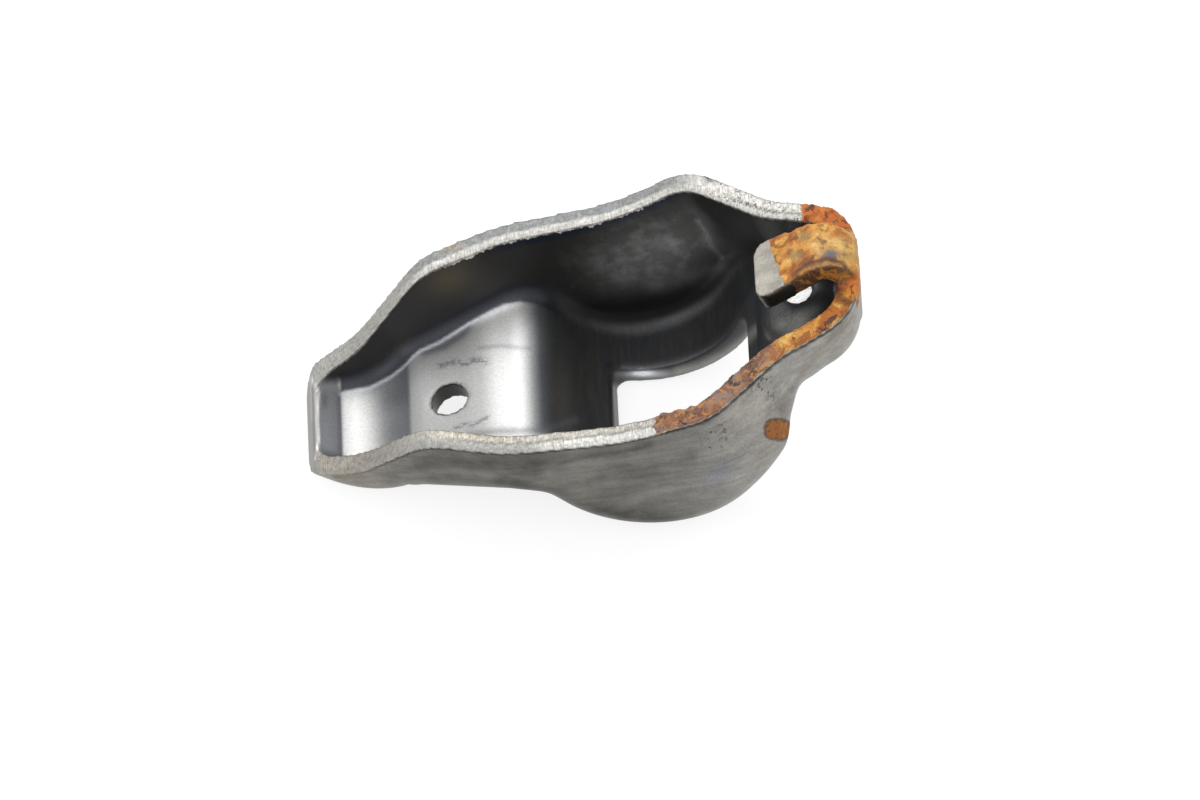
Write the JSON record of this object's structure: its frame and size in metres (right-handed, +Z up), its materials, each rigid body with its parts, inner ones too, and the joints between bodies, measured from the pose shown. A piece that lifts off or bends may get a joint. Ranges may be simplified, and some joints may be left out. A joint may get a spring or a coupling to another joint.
{
  "type": "rocker arm",
  "caption": "Pressed steel rocker arm: a boat-shaped channel with a slotted fulcrum trough, a valve pad at one end and a pushrod cup under a curled tongue at the other.",
  "frame": {"origin": "on the fulcrum axis, in the part's plane of symmetry", "axes": "+X towards the pushrod end, +Y across the channel along the fulcrum axis, +Z up out of the channel as the part rests on its belly and valve pad"},
  "size_m": [0.0735, 0.0424, 0.0377],
  "materials": {
    "pressed_steel": "case-hardened pressed steel, dark and satin inside, bright sheared rim, patches of rust"
  },
  "bodies": {
    "root": {"rocker_arm": "pressed_steel"}
  },
  "joints": []
}
